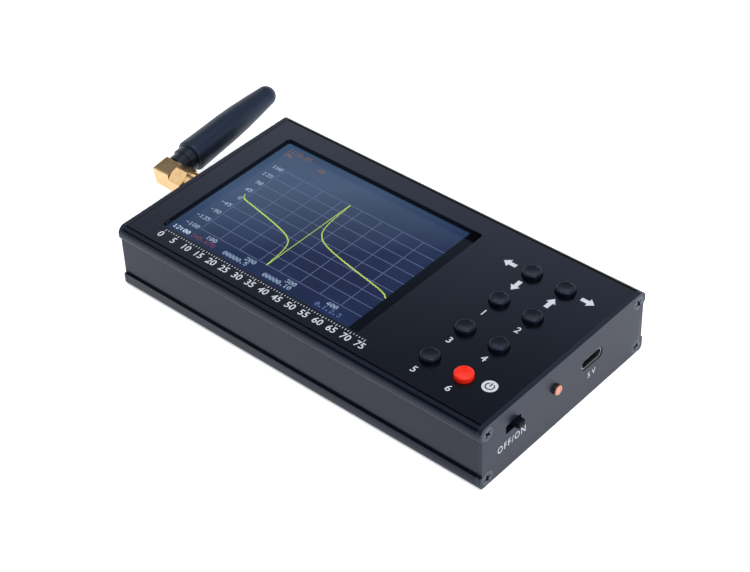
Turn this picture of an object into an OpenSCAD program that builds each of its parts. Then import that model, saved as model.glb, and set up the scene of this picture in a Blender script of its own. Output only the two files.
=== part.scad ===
// Hand-held antenna analyzer: an extruded case with a display and eight keys,
// and a stub antenna on a right-angle coaxial plug. Millimetres, +Z up.
// The origin is the centre of the case's underside. +X runs along the case to
// the charging socket, and +Y runs to the top edge of the display.

/* [Case] */
// Length over both end plates
case_len = 132; // [130:1:140]
// Width over the side rails
case_w = 71.5; // [71:0.5:76]
// Height over the lips that hold the front panel
case_h = 21; // [20.8:0.1:22]
// Thickness of each end plate
plate_t = 1.5; // [1.2:0.1:2]
// Thickness of the floor of the extrusion
floor_t = 1.8; // [1.2:0.1:2]
// How far the side walls stand back from their rails
wall_step = 0.7; // [0.3:0.1:0.9]
// Wall thickness between the rails
wall_t = 2.3; // [1.6:0.1:2.5]
// Height of the bottom rails
low_rail_h = 4.1; // [3.4:0.1:4.6]
// Height of the top rails, with their lips
top_rail_h = 4.5; // [4.3:0.1:5]
// Thickness of the front panel
panel_t = 1.4; // [1.2:0.1:1.6]
// Distance of an end plate screw from the side of the case
screw_in = 3; // [3:0.1:3.4]

/* [Display] */
// Left edge of the window, from the centre of the case
window_x = -57.4; // [-58.4:0.1:-56.4]
// Length of the window
window_len = 74.5; // [70:0.5:76]
// Width of the window
window_w = 53.4; // [50:0.2:54]
// Length of the display module
display_len = 81.4; // [80:0.2:82]
// Width of the display module
display_w = 58.4; // [58:0.2:60]
// Thickness of the display module
display_t = 3.5; // [3.2:0.1:3.6]

/* [Keys] */
// Diameter of a key cap
key_d = 5.5; // [5:0.1:6.2]
// How far a key cap stands out of the panel
key_rise = 1.5; // [1:0.1:2]
// Travel of a key
key_travel = 0.3; // [0.2:0.05:0.3]
// Middle of the left column of keys
key_x = 38.3; // [36:0.1:40]
// Distance between the two columns
key_pitch_x = 11.35; // [10:0.05:12]
// Middle of the back row of keys
key_y = 21.5; // [20:0.1:22]
// Distance between rows
key_pitch_y = 14.55; // [13:0.05:14.6]

/* [End plate fittings] */
// Middle of the charging socket across the case
socket_y = 11.8; // [8:0.1:16]
// Middle of the LED across the case
led_y = -4.3; // [-8:0.1:0]
// Height of the LED
led_z = 13.2; // [12.6:0.1:14]
// Place of the slide switch lever when it is on
lever_y = -20.9; // [-22:0.1:-18]
// Travel of the slide switch lever
lever_travel = 2.5; // [2:0.1:3.2]

/* [Antenna] */
// Distance of the elbow's axis from the end plate
elbow_out = 16.9; // [16.8:0.1:19]
// Side of the square elbow body
elbow_side = 6.4; // [6.2:0.1:6.6]
// Angle of the whip above level
whip_tilt = 7.1; // [0:0.1:90]
// Length of the whip from the jack's axis
whip_len = 46.4; // [40:0.2:60]
// Largest diameter of the rubber sleeve
sleeve_d = 10.2; // [9:0.1:10.4]
// Diameter of the rubber sleeve at its tip
tip_d = 6.5; // [6:0.1:8]

/* [Hidden] */
$fn = 64;
gap = 0.1;

// Case section
half_w = case_w / 2;
wall_y = half_w - wall_step;
inner_y = wall_y - wall_t;
body_half = case_len / 2 - plate_t;
low_corner_r = 1.3;
top_corner_r = 2.3;
under_r = 1.2;
under_z = case_h - top_rail_h + under_r;
groove_z = case_h - 0.95;
groove_h = 0.35;
groove_in = 0.9;
lip_w = 1.85;
lip_gap = 0.5;
ledge_z = case_h - 1.5;
tongue_t = 0.6;
tongue_y = half_w - 1.4;
slot_y = half_w - 1.35;
port_d = 2.06;
screw_d = 2;
screw_len = 9;
head_d = 4.4;
head_t = 1.3;
port_y = half_w - screw_in;
port_z = [2.45, case_h - 3];
boss_r = 2.2;
rib_in = 0.8;
rib_t = 0.8;

// Boards
board_t = 1.6;
board_top = 10.8;
board_x = [-case_len / 2 + 3.5, case_len / 2 - 2];
board_y = inner_y - gap;
display_top = ledge_z - 0.8;
front_board_top = display_top - display_t;
front_board_t = 1.2;
front_board_x = [-case_len / 2 + 4.5, case_len / 2 - 8];
front_board_y = inner_y - 1.5;

// Display
window_mid = window_x + window_len / 2;
display_x = window_x - 3.8;
display_mid = [display_x + display_len / 2, 0.8];
glass_t = 1.4;
frame_rim = 0.7;
flex_w = 20;
flex_t = 0.2;
flex_bend = 1;

// Standoffs that hang the front board on the panel
standoff_x = [26, 55.4];
standoff_y = 26.8;
standoff_af = 4;
m2_d = 2;

// Keys: columns and rows of each key in the order of the node names
key_places = [[0, 0], [1, 0], [0, 1], [1, 1], [0, 2], [1, 2], [0, 3], [1, 3]];
key_hole_d = key_d + 0.5;
key_flange_d = key_d + 1.3;
key_flange_t = 0.4;
tact_side = 6;
tact_h = 3.5;
plunger_d = 3;
panel_top = ledge_z + panel_t;
function key_pos(i) = [key_x + key_places[i][0] * key_pitch_x,
                       key_y - key_places[i][1] * key_pitch_y];

// Charging socket
socket_w = 8.94;
socket_h = 3.26;
socket_len = 7.35;
socket_wall = 0.3;
socket_z = board_top + socket_h / 2;
socket_front = case_len / 2 - 0.25;

// Slide switch
lever_z = board_top + 3;
lever_w = 2.7;
lever_h = 2.1;
lever_out = 1.7;
slide_mid = lever_y - lever_travel / 2;
switch_w = 10.8;
switch_front = body_half - gap;

// Coaxial jack, measured outwards from the end plate
jack_z = board_top + 0.64;
jack_d = 6.35;
jack_len = 10.7;
jack_mouth = 1.9;
dielectric_d = 3.6;
contact_d = 1.27;
pin_d = 0.9;
nut_af = 8;

// Plug: distances from the elbow's axis back towards the case
neck_end = 3.6;
ferrule_step = 6;
ferrule_end = 8.05;
ring_at = 4.2;
ring_t = 0.4;
nut_front = elbow_out - 5;
nut_back = 3.7;

// Whip, measured from the jack's axis
collar_steps = [[3.2, 3.65], [6.3, 4.2], [8.9, 4.2]];
sleeve_at = 8.9;
rod_d = 1.2;
radiator_d = 4.4;
radiator_end = whip_len - 6;

// ---- Shared shapes ----

// A box given by its lowest and highest corners
module block(low, high) {
    translate(low) cube(high - low);
}

// A flat rectangle with true round corners, centred
module round_rect(w, h, r) {
    square([w - 2 * r, h], center = true);
    square([w, h - 2 * r], center = true);
    for (x = [-1, 1], y = [-1, 1])
        translate([x * (w / 2 - r), y * (h / 2 - r)]) circle(r);
}

// A flat section across the case, drawn as (Y, Z) and run along X
module run_along_x(start, length) {
    translate([start, 0, 0]) rotate([90, 0, 90]) linear_extrude(length) children();
}

// A round bar along X
module bar_x(x, length, y, z, d) {
    translate([x, y, z]) rotate([0, 90, 0]) cylinder(d = d, h = length);
}

// Both halves of a flat section
module both_halves() {
    children();
    mirror([1, 0]) children();
}

// A tube through a list of points, with its rings square to the path
function unit(v) = v / norm(v);
function path_dir(p, i) =
    unit(p[min(i + 1, len(p) - 1)] - p[max(i - 1, 0)]);
function tube_ring(p, i, r, sides) =
    let (d = path_dir(p, i), a = unit(cross(d, [0, 1, 0.2])), b = cross(d, a))
    [for (k = [0:sides - 1])
        p[i] + r * (cos(360 * k / sides) * a + sin(360 * k / sides) * b)];
module tube(p, r, sides = 8) {
    rings = len(p);
    points = [for (i = [0:rings - 1]) each tube_ring(p, i, r, sides)];
    skin = [for (i = [0:rings - 2], k = [0:sides - 1])
        [i * sides + k, i * sides + (k + 1) % sides,
         (i + 1) * sides + (k + 1) % sides, (i + 1) * sides + k]];
    start = [for (k = [sides - 1:-1:0]) k];
    end = [for (k = [0:sides - 1]) (rings - 1) * sides + k];
    polyhedron(points, concat(skin, [start], [end]));
}

// Frame of the jack: local Z points out of the left end plate
module at_jack(out = 0) {
    translate([-case_len / 2 - out, 0, jack_z]) rotate([0, -90, 0]) children();
}

// Frame of the elbow: local Y is the whip, local X points back at the case
module at_elbow() {
    translate([-case_len / 2 - elbow_out, 0, jack_z]) rotate([whip_tilt, 0, 0])
        children();
}

// A bar along the whip, from one distance to another
module whip_bar(from, to, d) {
    translate([0, from, 0]) rotate([-90, 0, 0]) cylinder(d = d, h = to - from);
}

// A hexagonal nut with its corners turned down at both ends
module hex_nut(af, h) {
    corner = af / cos(30);
    turned = 0.55;
    intersection() {
        cylinder(d = corner, h = h, $fn = 6);
        union() {
            cylinder(d1 = af, d2 = corner, h = turned);
            translate([0, 0, turned]) cylinder(d = corner, h = h - 2 * turned);
            translate([0, 0, h - turned]) cylinder(d1 = corner, d2 = af, h = turned);
        }
    }
}

// ---- Case ----

// Outer part of one side: bottom rail, wall, and the top rail with its round corners
module side_profile() {
    low = half_w - low_corner_r;
    high = half_w - top_corner_r;
    translate([inner_y, 0]) square([low - inner_y, low_rail_h]);
    translate([inner_y, low_corner_r])
        square([half_w - inner_y, low_rail_h - low_corner_r]);
    translate([low, low_corner_r]) circle(low_corner_r);
    translate([inner_y, low_corner_r]) square([wall_y - inner_y, under_z - low_corner_r]);
    translate([half_w - under_r, under_z]) circle(under_r);
    translate([inner_y, under_z])
        square([half_w - inner_y, case_h - top_corner_r - under_z]);
    translate([high, case_h - top_corner_r]) circle(top_corner_r);
    translate([inner_y, under_z]) square([high - inner_y, case_h - under_z]);
}

// Half of the extrusion's section: floor, side, board ribs, screw ports and lip
module half_case_section() {
    difference() {
        union() {
            square([inner_y + 1, floor_t]);
            side_profile();
            for (z = port_z) translate([port_y, z]) circle(boss_r);
            for (z = [board_top - board_t - rib_t, board_top])
                translate([inner_y - rib_in, z]) square([rib_in + 1, rib_t]);
        }
        // shadow groove below the lip
        translate([half_w - groove_in, groove_z]) square([groove_in + 1, groove_h]);
        // slot that the front panel slides into
        translate([inner_y - 3, ledge_z]) square([slot_y - inner_y + 3, 0.7]);
        translate([inner_y - 3, ledge_z])
            square([half_w - lip_w - inner_y + 3, case_h - ledge_z + 1]);
        for (z = port_z) translate([port_y, z]) circle(d = port_d);
    }
}

module case_body() {
    color("#2a2d35")
        run_along_x(-body_half, 2 * body_half) both_halves() half_case_section();
}

module front_panel() {
    color("#1e2128") difference() {
        run_along_x(-body_half, 2 * body_half) {
            translate([-half_w + lip_w + lip_gap, ledge_z])
                square([case_w - 2 * (lip_w + lip_gap), panel_t]);
            translate([-tongue_y, ledge_z]) square([2 * tongue_y, tongue_t]);
        }
        translate([window_mid, 0, ledge_z - 1])
            linear_extrude(panel_t + 2) round_rect(window_len, window_w, 1);
        for (i = [0:7]) translate([key_pos(i).x, key_pos(i).y, ledge_z - 1])
            cylinder(d = key_hole_d, h = panel_t + 2);
    }
}

// Outline of an end plate, drawn as (Y, Z): it steps in and out as the sides do
module plate_outline() {
    translate([-inner_y - 1, 0]) square([2 * inner_y + 2, case_h]);
    both_halves() side_profile();
}

// Countersunk holes for the four screws of a plate whose face is at x = 0
module plate_holes() {
    for (y = [-port_y, port_y], z = port_z) translate([0, y, z]) {
        bar_x(-plate_t - 1, plate_t + 2, 0, 0, screw_d + 0.3);
        rotate([0, -90, 0]) cylinder(d1 = head_d + 0.1, d2 = screw_d + 0.1,
                                     h = head_t + 0.05);
    }
}

module usb_end_plate() {
    color("#4b505c") difference() {
        run_along_x(body_half, plate_t) plate_outline();
        translate([case_len / 2, 0, 0]) plate_holes();
        translate([body_half - 1, 0, 0]) rotate([90, 0, 90]) linear_extrude(plate_t + 2) {
            translate([socket_y, socket_z])
                round_rect(socket_w + 0.4, socket_h + 0.4, socket_h / 2);
            translate([slide_mid, lever_z])
                round_rect(lever_travel + lever_w + 1.2, lever_h + 0.8, 0.5);
        }
        bar_x(body_half - 1, plate_t + 2, led_y, led_z, 3.2);
    }
}

module antenna_end_plate() {
    color("#4b505c") difference() {
        run_along_x(-case_len / 2, plate_t) plate_outline();
        translate([-case_len / 2, 0, 0]) mirror([1, 0, 0]) plate_holes();
        at_jack(-plate_t - 1) cylinder(d = jack_d + 0.25, h = plate_t + 2);
    }
}

// A countersunk screw with a cross recess, its head's face at x = 0
module plate_screw() {
    recess = 0.55;
    difference() {
        union() {
            rotate([0, -90, 0]) cylinder(d1 = head_d, d2 = screw_d, h = head_t);
            bar_x(-screw_len, screw_len, 0, 0, screw_d);
        }
        for (a = [0, 90]) rotate([a, 0, 0])
            block([-0.8, -1.25, -recess / 2], [1, 1.25, recess / 2]);
        rotate([0, -90, 0]) cylinder(d1 = 1.3, d2 = 0.6, h = 1.1);
    }
}

// The cross recesses of a plate's screws stop at different angles
module plate_screws() {
    turns = [18, 52, 75, 31];
    for (i = [0, 1], k = [0, 1])
        translate([0, (2 * i - 1) * port_y, port_z[k]])
            rotate([turns[2 * i + k], 0, 0]) plate_screw();
}

module usb_plate_screws() {
    color("#3a3d45") translate([case_len / 2, 0, 0]) plate_screws();
}

module antenna_plate_screws() {
    color("#3a3d45") translate([-case_len / 2, 0, 0]) mirror([1, 0, 0]) plate_screws();
}

// ---- Display and front board ----

module display_gasket() {
    color("#101114") translate([0, 0, display_top])
        linear_extrude(ledge_z - display_top) difference() {
            translate(display_mid) square([display_len - 1.2, display_w - 0.8],
                                          center = true);
            translate([window_mid, 0])
                round_rect(window_len + 0.8, window_w + 0.8, 0.8);
        }
}

module display_glass() {
    in = 2 * frame_rim + gap;
    color("#243a72") translate([display_mid.x, display_mid.y, display_top - glass_t / 2])
        cube([display_len - in, display_w - in, glass_t], center = true);
}

// Frame that holds the glass and its backlight, open where the ribbon leaves
module display_frame() {
    pocket_z = display_top - glass_t;
    color("#c9ccd0") difference() {
        translate([display_mid.x, display_mid.y, display_top - display_t / 2])
            cube([display_len, display_w, display_t], center = true);
        translate([display_mid.x, display_mid.y, pocket_z + 1])
            cube([display_len - 2 * frame_rim, display_w - 2 * frame_rim, 2],
                 center = true);
        translate([display_x + display_len, 0, pocket_z])
            cube([4, flex_w + 0.4, 2 * flex_t + 0.1], center = true);
    }
}

// Ribbon: flat under the glass, down in an S, flat on the front board
module display_flex() {
    x = display_x + display_len;
    z = display_top - glass_t;
    turn = x + 0.8;
    color("#b06a2c") rotate([90, 0, 0]) translate([0, 0, -flex_w / 2])
        linear_extrude(flex_w) {
            translate([x - 1.2, z - flex_t]) square([2, flex_t]);
            quarter_strip([turn, z - flex_bend], 1, 1);
            translate([turn + flex_bend - flex_t, front_board_top + flex_bend])
                square([flex_t, z - front_board_top - 2 * flex_bend]);
            quarter_strip([turn + 2 * flex_bend - flex_t, front_board_top + flex_bend],
                          -1, -1);
            translate([turn + 2 * flex_bend - flex_t, front_board_top])
                square([4, flex_t]);
        }
}

// A quarter of a flat ring: the quadrant is given by the signs of x and y
module quarter_strip(centre, sx, sy) {
    translate(centre) intersection() {
        difference() {
            circle(flex_bend);
            circle(flex_bend - flex_t);
        }
        scale([sx, sy]) square(2 * flex_bend);
    }
}

module front_board() {
    z = front_board_top - front_board_t;
    color("#1f5a36") difference() {
        block([front_board_x[0], -front_board_y, z],
              [front_board_x[1], front_board_y, front_board_top]);
        for (x = standoff_x, s = [-1, 1]) translate([x, s * standoff_y, z - 1])
            cylinder(d = m2_d + 0.2, h = front_board_t + 2);
    }
}

module panel_standoffs() {
    color("#b8b9bd") for (x = standoff_x, s = [-1, 1])
        translate([x, s * standoff_y, front_board_top]) difference() {
            cylinder(d = standoff_af / cos(30), h = ledge_z - front_board_top, $fn = 6);
            translate([0, 0, -1]) cylinder(d = m2_d + 0.06, h = 4.6);
        }
}

module front_board_screws() {
    z = front_board_top - front_board_t;
    color("#8f9196") for (x = standoff_x, s = [-1, 1])
        translate([x, s * standoff_y, z - 1.2]) {
            cylinder(d = 3.8, h = 1.2);
            cylinder(d = m2_d, h = 5.2);
        }
}

// ---- Keys ----

module key_switches() {
    color("#22242a") for (i = [0:7])
        translate([key_pos(i).x, key_pos(i).y, front_board_top]) difference() {
            translate([-tact_side / 2, -tact_side / 2, 0])
                cube([tact_side, tact_side, tact_h]);
            translate([0, 0, tact_h - 1.2]) cylinder(d = plunger_d + 0.2, h = 2);
        }
}

// Top of the bore in a key cap, where it sits on its plunger
plunger_top = display_top + 2;

// A key cap: flange under the panel, round edge, shallow dish on top
module key_cap(i, shade) {
    r = key_d / 2;
    edge = 0.55;
    low = ledge_z - 0.05 - key_flange_t;
    high = panel_top + key_rise;
    color(shade) translate([key_pos(i).x, key_pos(i).y, 0]) difference() {
        union() {
            translate([0, 0, low]) cylinder(d = key_flange_d, h = key_flange_t);
            rotate_extrude() {
                translate([0, low]) square([r, high - edge - low]);
                translate([0, high - edge]) square([r - edge, edge]);
                translate([r - edge, high - edge]) intersection() {
                    circle(edge);
                    square(edge);
                }
            }
        }
        translate([0, 0, low - 1]) cylinder(d = plunger_d, h = plunger_top - low + 1);
        translate([0, 0, high + 16 - 0.18]) sphere(16, $fn = 96);
    }
}

module plunger(i) {
    low = display_top - 0.85;
    color("#d8d4c8") translate([key_pos(i).x, key_pos(i).y, low])
        cylinder(d = plunger_d, h = plunger_top - low);
}

// ---- Main board, battery and what they carry ----

module main_board() {
    color("#1d5c38") block([board_x[0], -board_y, board_top - board_t],
                           [board_x[1], board_y, board_top]);
}

module board_header() {
    z = front_board_top - front_board_t;
    color("#17181b") block([-10, -26, board_top], [15.4, -21, z]);
}

// Packages on the main board: middle, size
chips = [[28, 4, 10, 10, 1.2], [8, 8, 7, 7, 0.9], [46, 20, 5, 4, 1.4],
         [48, -4, 4, 4, 1], [-12, 14, 8, 5, 1.6], [-34, 6, 5, 5, 0.9],
         [-46, -5, 4, 4, 0.9]];
module board_chips() {
    color("#202226") for (c = chips)
        block([c[0] - c[2] / 2, c[1] - c[3] / 2, board_top],
              [c[0] + c[2] / 2, c[1] + c[3] / 2, board_top + c[4]]);
}

module rf_shield() {
    can_t = 0.3;
    can_h = 2.6;
    low = [-57, -13, board_top];
    high = [-25, 13, board_top + can_h];
    color("#c4c6ca") difference() {
        block(low, high);
        block(low + [can_t, can_t, -1], high - [can_t, can_t, can_t]);
    }
}

pad_t = 0.5;
cell_x = [-34, 26];
cell_y = [-20, 14];
cell_h = 5.4;
tab_len = 2;
module battery() {
    mid = [(cell_x[0] + cell_x[1]) / 2, (cell_y[0] + cell_y[1]) / 2];
    z = floor_t + pad_t;
    color("#b9bcc2") {
        translate([mid.x, mid.y, z]) linear_extrude(cell_h)
            round_rect(cell_x[1] - cell_x[0], cell_y[1] - cell_y[0], 2);
        block([cell_x[1] - 1, cell_y[0] + 3, z + 2],
              [cell_x[1] + tab_len, cell_y[1] - 3, z + 3.4]);
    }
}

module battery_pad() {
    color("#d9d6cf") block([cell_x[0] + 4, cell_y[0] + 4, floor_t],
                           [cell_x[1] - 4, cell_y[1] - 4, floor_t + pad_t]);
}

// Two leads from the cell's tab to the plug, 2 mm apart
lead_mid = -6;
lead_d = 1.1;
plug_x = 39;
plug_z = 6.9;
lead_rise = [[0, 0], [2, 0], [4, -0.4], [6, -0.3], [8, 0.6], [9, 1.6], [10, 1.9], [11, 1.9]];
module battery_leads() {
    z = floor_t + pad_t + 2.7;
    color("#9c2b26") for (y = [lead_mid - 1, lead_mid + 1])
        tube([for (p = lead_rise) [cell_x[1] + tab_len + p[0], y, z + p[1]]],
             lead_d / 2);
}

module battery_plug() {
    color("#e6e2d6") block([plug_x, lead_mid - 2.6, plug_z - 1.2],
                           [plug_x + 6, lead_mid + 2.6, plug_z + 1.2]);
}

module battery_socket() {
    color("#e6e2d6") difference() {
        block([plug_x + 2, lead_mid - 3.6, plug_z - 1.9],
              [plug_x + 7, lead_mid + 3.6, board_top - board_t]);
        block([plug_x, lead_mid - 2.7, plug_z - 1.3],
              [plug_x + 6, lead_mid + 2.7, plug_z + 1.3]);
    }
}

// ---- Fittings of the right end plate ----

module usb_shell() {
    back = socket_front - socket_len;
    color("#c8cacf") difference() {
        run_along_x(back, socket_len) translate([socket_y, socket_z])
            round_rect(socket_w, socket_h, socket_h / 2 - 0.01);
        run_along_x(back + socket_wall, socket_len) translate([socket_y, socket_z])
            round_rect(socket_w - 2 * socket_wall, socket_h - 2 * socket_wall,
                       socket_h / 2 - socket_wall - 0.01);
    }
}

module usb_tongue() {
    back = socket_front - socket_len + socket_wall;
    color("#1a1b1e") {
        run_along_x(back, 1.2) translate([socket_y, socket_z])
            round_rect(socket_w - 2 * socket_wall - gap,
                       socket_h - 2 * socket_wall - gap, 1.2);
        run_along_x(back + 1, 4.9) translate([socket_y, socket_z])
            round_rect(6.7, 0.7, 0.3);
    }
}

// 3 mm LED: flange behind the plate, flat-topped body through it
led_tip = case_len / 2 + 1.2;
led_back = case_len / 2 - 3.6;
module status_led() {
    edge = 0.3;
    color("#f07a5c") {
        bar_x(led_back, 1, led_y, led_z, 3.8);
        bar_x(led_back, led_tip - edge - led_back, led_y, led_z, 3);
        translate([led_tip - edge, led_y, led_z]) rotate([0, 90, 0])
            cylinder(d1 = 3, d2 = 3 - 1.6 * edge, h = edge);
    }
}

module led_legs() {
    leg = 0.5;
    color("#c0c2c6") for (s = [-1, 1]) translate([0, led_y + s * 1.1, 0]) {
        block([led_back - 1.5, -leg / 2, led_z - leg / 2],
              [led_back, leg / 2, led_z + leg / 2]);
        block([led_back - 1.5, -leg / 2, board_top],
              [led_back - 1, leg / 2, led_z + leg / 2]);
    }
}

slider_w = 5.4;
slider_h = 2.8;
module power_switch_body() {
    back = switch_front - 4;
    pocket = slider_w + lever_travel + 0.8;
    color("#8c9096") difference() {
        block([back, slide_mid - switch_w / 2, board_top],
              [switch_front, slide_mid + switch_w / 2, board_top + 5]);
        block([back + 1, slide_mid - pocket / 2, lever_z - 1.5],
              [switch_front - 0.4, slide_mid + pocket / 2, lever_z + 1.5]);
        block([back + 1, slide_mid - (lever_travel + lever_w) / 2 - 0.2, lever_z - 1.5],
              [switch_front + 1, slide_mid + (lever_travel + lever_w) / 2 + 0.2,
               lever_z + 1.5]);
    }
}

module power_switch_lever() {
    back = switch_front - 2.8;
    color("#15161a") {
        block([back, lever_y - slider_w / 2, lever_z - slider_h / 2],
              [switch_front - 0.5, lever_y + slider_w / 2, lever_z + slider_h / 2]);
        run_along_x(switch_front - 1, case_len / 2 + lever_out - switch_front + 1)
            translate([lever_y, lever_z]) round_rect(lever_w, lever_h, 0.4);
    }
}

// ---- Antenna jack ----

module coax_jack() {
    leg = 1;
    color("#d6a54a") {
        at_jack() difference() {
            union() {
                translate([0, 0, -plate_t]) cylinder(d = jack_d, h = plate_t + jack_len);
                translate([0, 0, -plate_t - 1]) cube([6.4, 6.4, 2], center = true);
            }
            translate([0, 0, -5]) cylinder(d = dielectric_d, h = jack_len + 6);
            translate([0, 0, jack_len - jack_mouth]) cylinder(d = 4.7, h = jack_mouth + 1);
        }
        for (s = [-1, 1], z = [board_top, board_top - board_t - leg])
            block([board_x[0], s * 2.7 - leg / 2, z],
                  [board_x[0] + 4, s * 2.7 + leg / 2, z + leg]);
    }
}

module jack_insulator() {
    color("#f0efe9") at_jack(-plate_t - 2) difference() {
        cylinder(d = dielectric_d, h = plate_t + 2 + jack_len - jack_mouth);
        translate([0, 0, -1]) cylinder(d = contact_d, h = jack_len + 6);
    }
}

module jack_contact() {
    color("#d6a54a") at_jack(-6) difference() {
        cylinder(d = contact_d, h = 6 + jack_len - jack_mouth);
        translate([0, 0, 6 + jack_len - jack_mouth - 2.6])
            cylinder(d = pin_d + 0.1, h = 4);
    }
}

module jack_washer() {
    color("#c9cbd0") at_jack() difference() {
        cylinder(d = 9, h = 0.6);
        translate([0, 0, -1]) cylinder(d = jack_d + 0.25, h = 3);
    }
}

module jack_nut() {
    color("#d6a54a") at_jack(0.6) difference() {
        rotate([0, 0, 24]) hex_nut(nut_af, 2.2);
        translate([0, 0, -1]) cylinder(d = jack_d + 0.04, h = 5);
    }
}

// ---- Antenna ----

// Captive nut: a round skirt at the jack end, then the hexagon
module coupling_nut() {
    skirt = 2.7;
    length = nut_front - nut_back;
    web = 1.3;
    color("#e0b055") at_jack(elbow_out - nut_front) difference() {
        union() {
            cylinder(d = nut_af - 0.4, h = skirt + 0.2);
            translate([0, 0, skirt]) rotate([0, 0, -7]) hex_nut(nut_af, length - skirt);
        }
        translate([0, 0, -1]) cylinder(d = jack_d + 0.15, h = length - web + 1);
        cylinder(d = 5.2, h = length + 1);
        translate([0, 0, nut_front - ring_at - ring_t - 0.1])
            cylinder(d = 5.9, h = ring_t + 0.2);
    }
}

module retaining_ring() {
    color("#c9cbd0") at_elbow() difference() {
        bar_x(ring_at, ring_t, 0, 0, 5.7);
        bar_x(ring_at - 1, ring_t + 2, 0, 0, 4.56);
    }
}

// Elbow: a square body, the ferrule that enters the jack, and their bores
module antenna_elbow() {
    half = elbow_side / 2;
    color("#e0b055") at_elbow() difference() {
        union() {
            run_along_x(-half, elbow_side) round_rect(elbow_side, elbow_side, 0.4);
            bar_x(0, neck_end, 0, 0, 5.6);
            bar_x(0, ferrule_step, 0, 0, 5);
            bar_x(0, ferrule_end, 0, 0, 4.55);
        }
        difference() {
            bar_x(ring_at - 0.02, ring_t + 0.04, 0, 0, 6);
            bar_x(ring_at - 1, 3, 0, 0, 4.5);
        }
        bar_x(0, ferrule_end + 1, 0, 0, dielectric_d);
        whip_bar(0, half + 1, dielectric_d);
        sphere(d = dielectric_d);
        bar_x(-half - 1, 1.6, 0, 0, 4.4);
    }
}

module elbow_cap() {
    half = elbow_side / 2;
    color("#d6a54a") at_elbow() bar_x(-half, 0.6, 0, 0, 4.4);
}

module plug_insulator() {
    half = elbow_side / 2;
    color("#f0efe9") at_elbow() difference() {
        union() {
            bar_x(0, ferrule_end, 0, 0, dielectric_d);
            whip_bar(0, half, dielectric_d);
            sphere(d = dielectric_d);
        }
        bar_x(0.2, ferrule_end + 2, 0, 0, pin_d);
        whip_bar(-0.6, half + 1, rod_d);
    }
}

module plug_pin() {
    reach = elbow_out - (jack_len - jack_mouth) + 2.4;
    color("#d6a54a") at_elbow() difference() {
        bar_x(0.2, reach - 0.2, 0, 0, pin_d);
        whip_bar(-0.6, 3, rod_d);
    }
}

module antenna_collar() {
    color("#1b1d22") at_elbow() difference() {
        union() {
            whip_bar(collar_steps[0][0], collar_steps[1][0] + 0.1, 2 * collar_steps[0][1]);
            whip_bar(collar_steps[1][0], collar_steps[2][0], 2 * collar_steps[1][1]);
        }
        whip_bar(0, sleeve_at + 1, rod_d);
    }
}

module antenna_radiator() {
    color("#c98a4b") at_elbow() {
        whip_bar(-0.6, sleeve_at + 4.1, rod_d);
        whip_bar(sleeve_at + 4, radiator_end, radiator_d);
    }
}

// Rubber sleeve: round shoulder, long taper, round tip, bored for the radiator
module antenna_sleeve() {
    r = sleeve_d / 2;
    tip = tip_d / 2;
    edge = 0.9;
    color("#23272f") at_elbow() rotate([-90, 0, 0]) difference() {
        rotate_extrude() union() {
            polygon([[0, sleeve_at], [r - edge, sleeve_at], [r, sleeve_at + edge],
                     [r - 0.16, sleeve_at + 6], [r - 0.38, sleeve_at + 16],
                     [r - 0.68, sleeve_at + 22], [r - 1.19, sleeve_at + 28],
                     [tip, whip_len - tip], [0, whip_len - tip]]);
            translate([r - edge, sleeve_at + edge]) circle(edge, $fn = 32);
            intersection() {
                translate([0, whip_len - tip]) circle(tip);
                translate([0, whip_len - tip - 1]) square([tip + 1, tip + 2]);
            }
        }
        translate([0, 0, sleeve_at - 1]) cylinder(d = rod_d, h = 6);
        translate([0, 0, sleeve_at + 4])
            cylinder(d = radiator_d, h = radiator_end - sleeve_at - 4);
    }
}

case_body();
front_panel();
usb_end_plate();
antenna_end_plate();
usb_plate_screws();
antenna_plate_screws();
display_gasket();
display_glass();
display_frame();
display_flex();
front_board();
panel_standoffs();
front_board_screws();
key_switches();
key_cap(0, "#1f2227");  // key_left
key_cap(1, "#1f2227");  // key_right
key_cap(2, "#1f2227");  // key_down
key_cap(3, "#1f2227");  // key_up
key_cap(4, "#1f2227");  // key_three
key_cap(5, "#1f2227");  // key_four
key_cap(6, "#1f2227");  // key_five
key_cap(7, "#e8301c");  // key_power
plunger(0);  // plunger_left
plunger(1);  // plunger_right
plunger(2);  // plunger_down
plunger(3);  // plunger_up
plunger(4);  // plunger_three
plunger(5);  // plunger_four
plunger(6);  // plunger_five
plunger(7);  // plunger_power
main_board();
board_header();
board_chips();
rf_shield();
battery();
battery_pad();
battery_leads();
battery_plug();
battery_socket();
usb_shell();
usb_tongue();
status_led();
led_legs();
power_switch_body();
power_switch_lever();
coax_jack();
jack_insulator();
jack_contact();
jack_washer();
jack_nut();
coupling_nut();
retaining_ring();
antenna_elbow();
elbow_cap();
plug_insulator();
plug_pin();
antenna_collar();
antenna_radiator();
antenna_sleeve();
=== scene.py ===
"""The looks of a hand-held antenna analyzer, built piece by piece around its CAD frame."""

import math

import bpy
from mathutils import Matrix, Vector


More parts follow.
